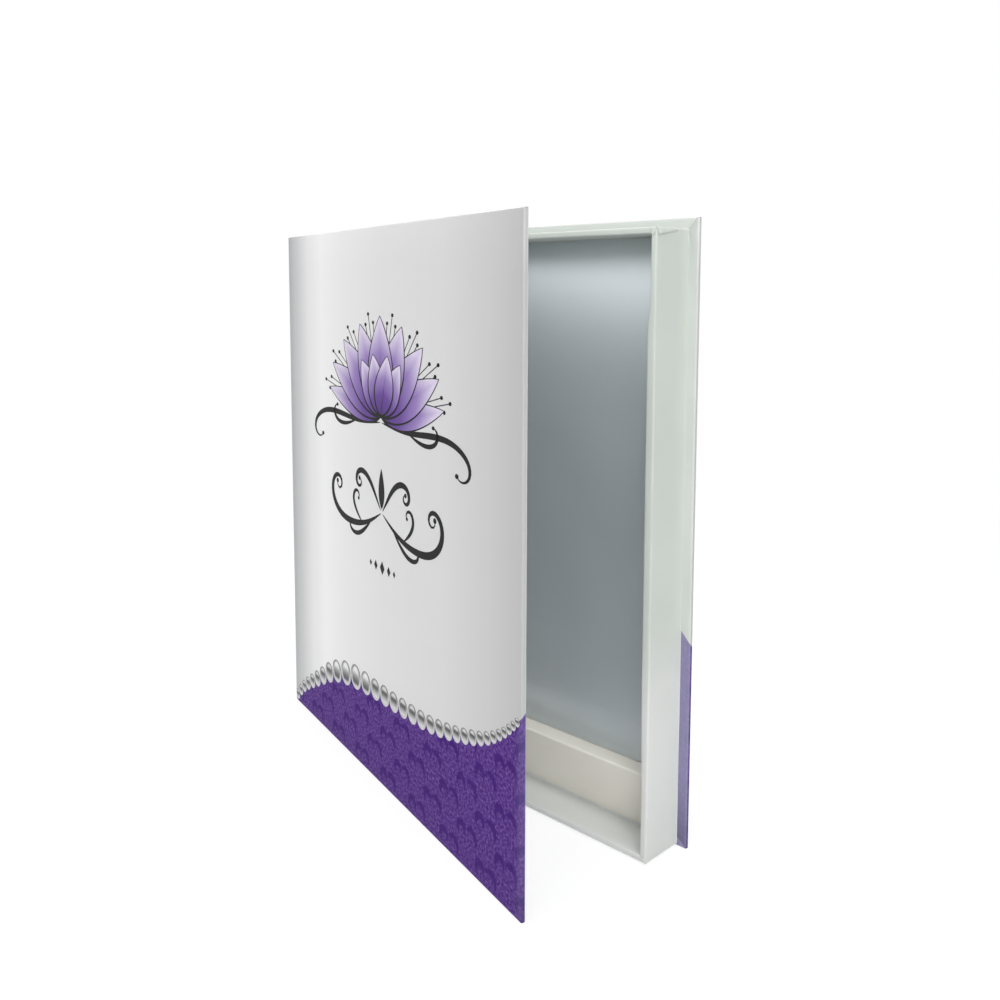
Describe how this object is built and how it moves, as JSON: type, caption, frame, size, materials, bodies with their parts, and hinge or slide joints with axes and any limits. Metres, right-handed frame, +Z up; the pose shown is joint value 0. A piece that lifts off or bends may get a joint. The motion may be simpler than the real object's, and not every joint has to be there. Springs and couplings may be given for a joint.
{
  "type": "false eyelash case",
  "caption": "Book-shaped case for false eyelashes: wrapped board covers and a spine fold round a shallow paper-covered tray with a steel floor sheet and a card ledge.",
  "frame": {"origin": "middle of the outline seen from above, at the lower edges that the case stands on, with the cover open by 15 degrees", "axes": "+Z up along the folds and the spine; -Y is the way the tray opens; +X runs from the spine to the fore edge"},
  "size_m": [0.1688, 0.0603, 0.18],
  "materials": {
    "printed_paper": "printed silver-grey and purple paper with a satin film",
    "lining_paper": "matt white lining paper",
    "tray_paper": "matt white paper glued over board",
    "board": "bare greyboard",
    "steel": "satin tin-plated sheet",
    "card": "smooth ivory card",
    "magnet": "nickel-plated magnet"
  },
  "bodies": {
    "tray": {"back_cover_board": "board", "back_cover_wrap": "printed_paper", "back_cover_lining": "lining_paper", "tray_base_board": "board", "tray_top_wall": "board", "tray_bottom_wall": "board", "tray_fore_edge_wall": "board", "tray_spine_side_wall": "board", "tray_wrap": "tray_paper", "steel_sheet": "steel", "card_ledge": "card", "tray_magnets": "magnet"},
    "spine": {"spine_board": "board", "spine_wrap": "printed_paper", "spine_lining": "lining_paper"},
    "front_cover": {"front_cover_board": "board", "front_cover_wrap": "printed_paper", "front_cover_lining": "lining_paper", "cover_magnets": "magnet"}
  },
  "joints": [
    {"name": "back_fold", "type": "hinge", "parent": "tray", "child": "spine", "pos_m": [-0.07959, 0.03023, 0.09], "axis": [0, 0, -1], "range_deg": [-15, 75]},
    {"name": "front_fold", "type": "hinge", "parent": "spine", "child": "front_cover", "pos_m": [-0.08441, 0.01222, 0.09], "axis": [0, 0, -1], "range_deg": [0, 90]}
  ]
}
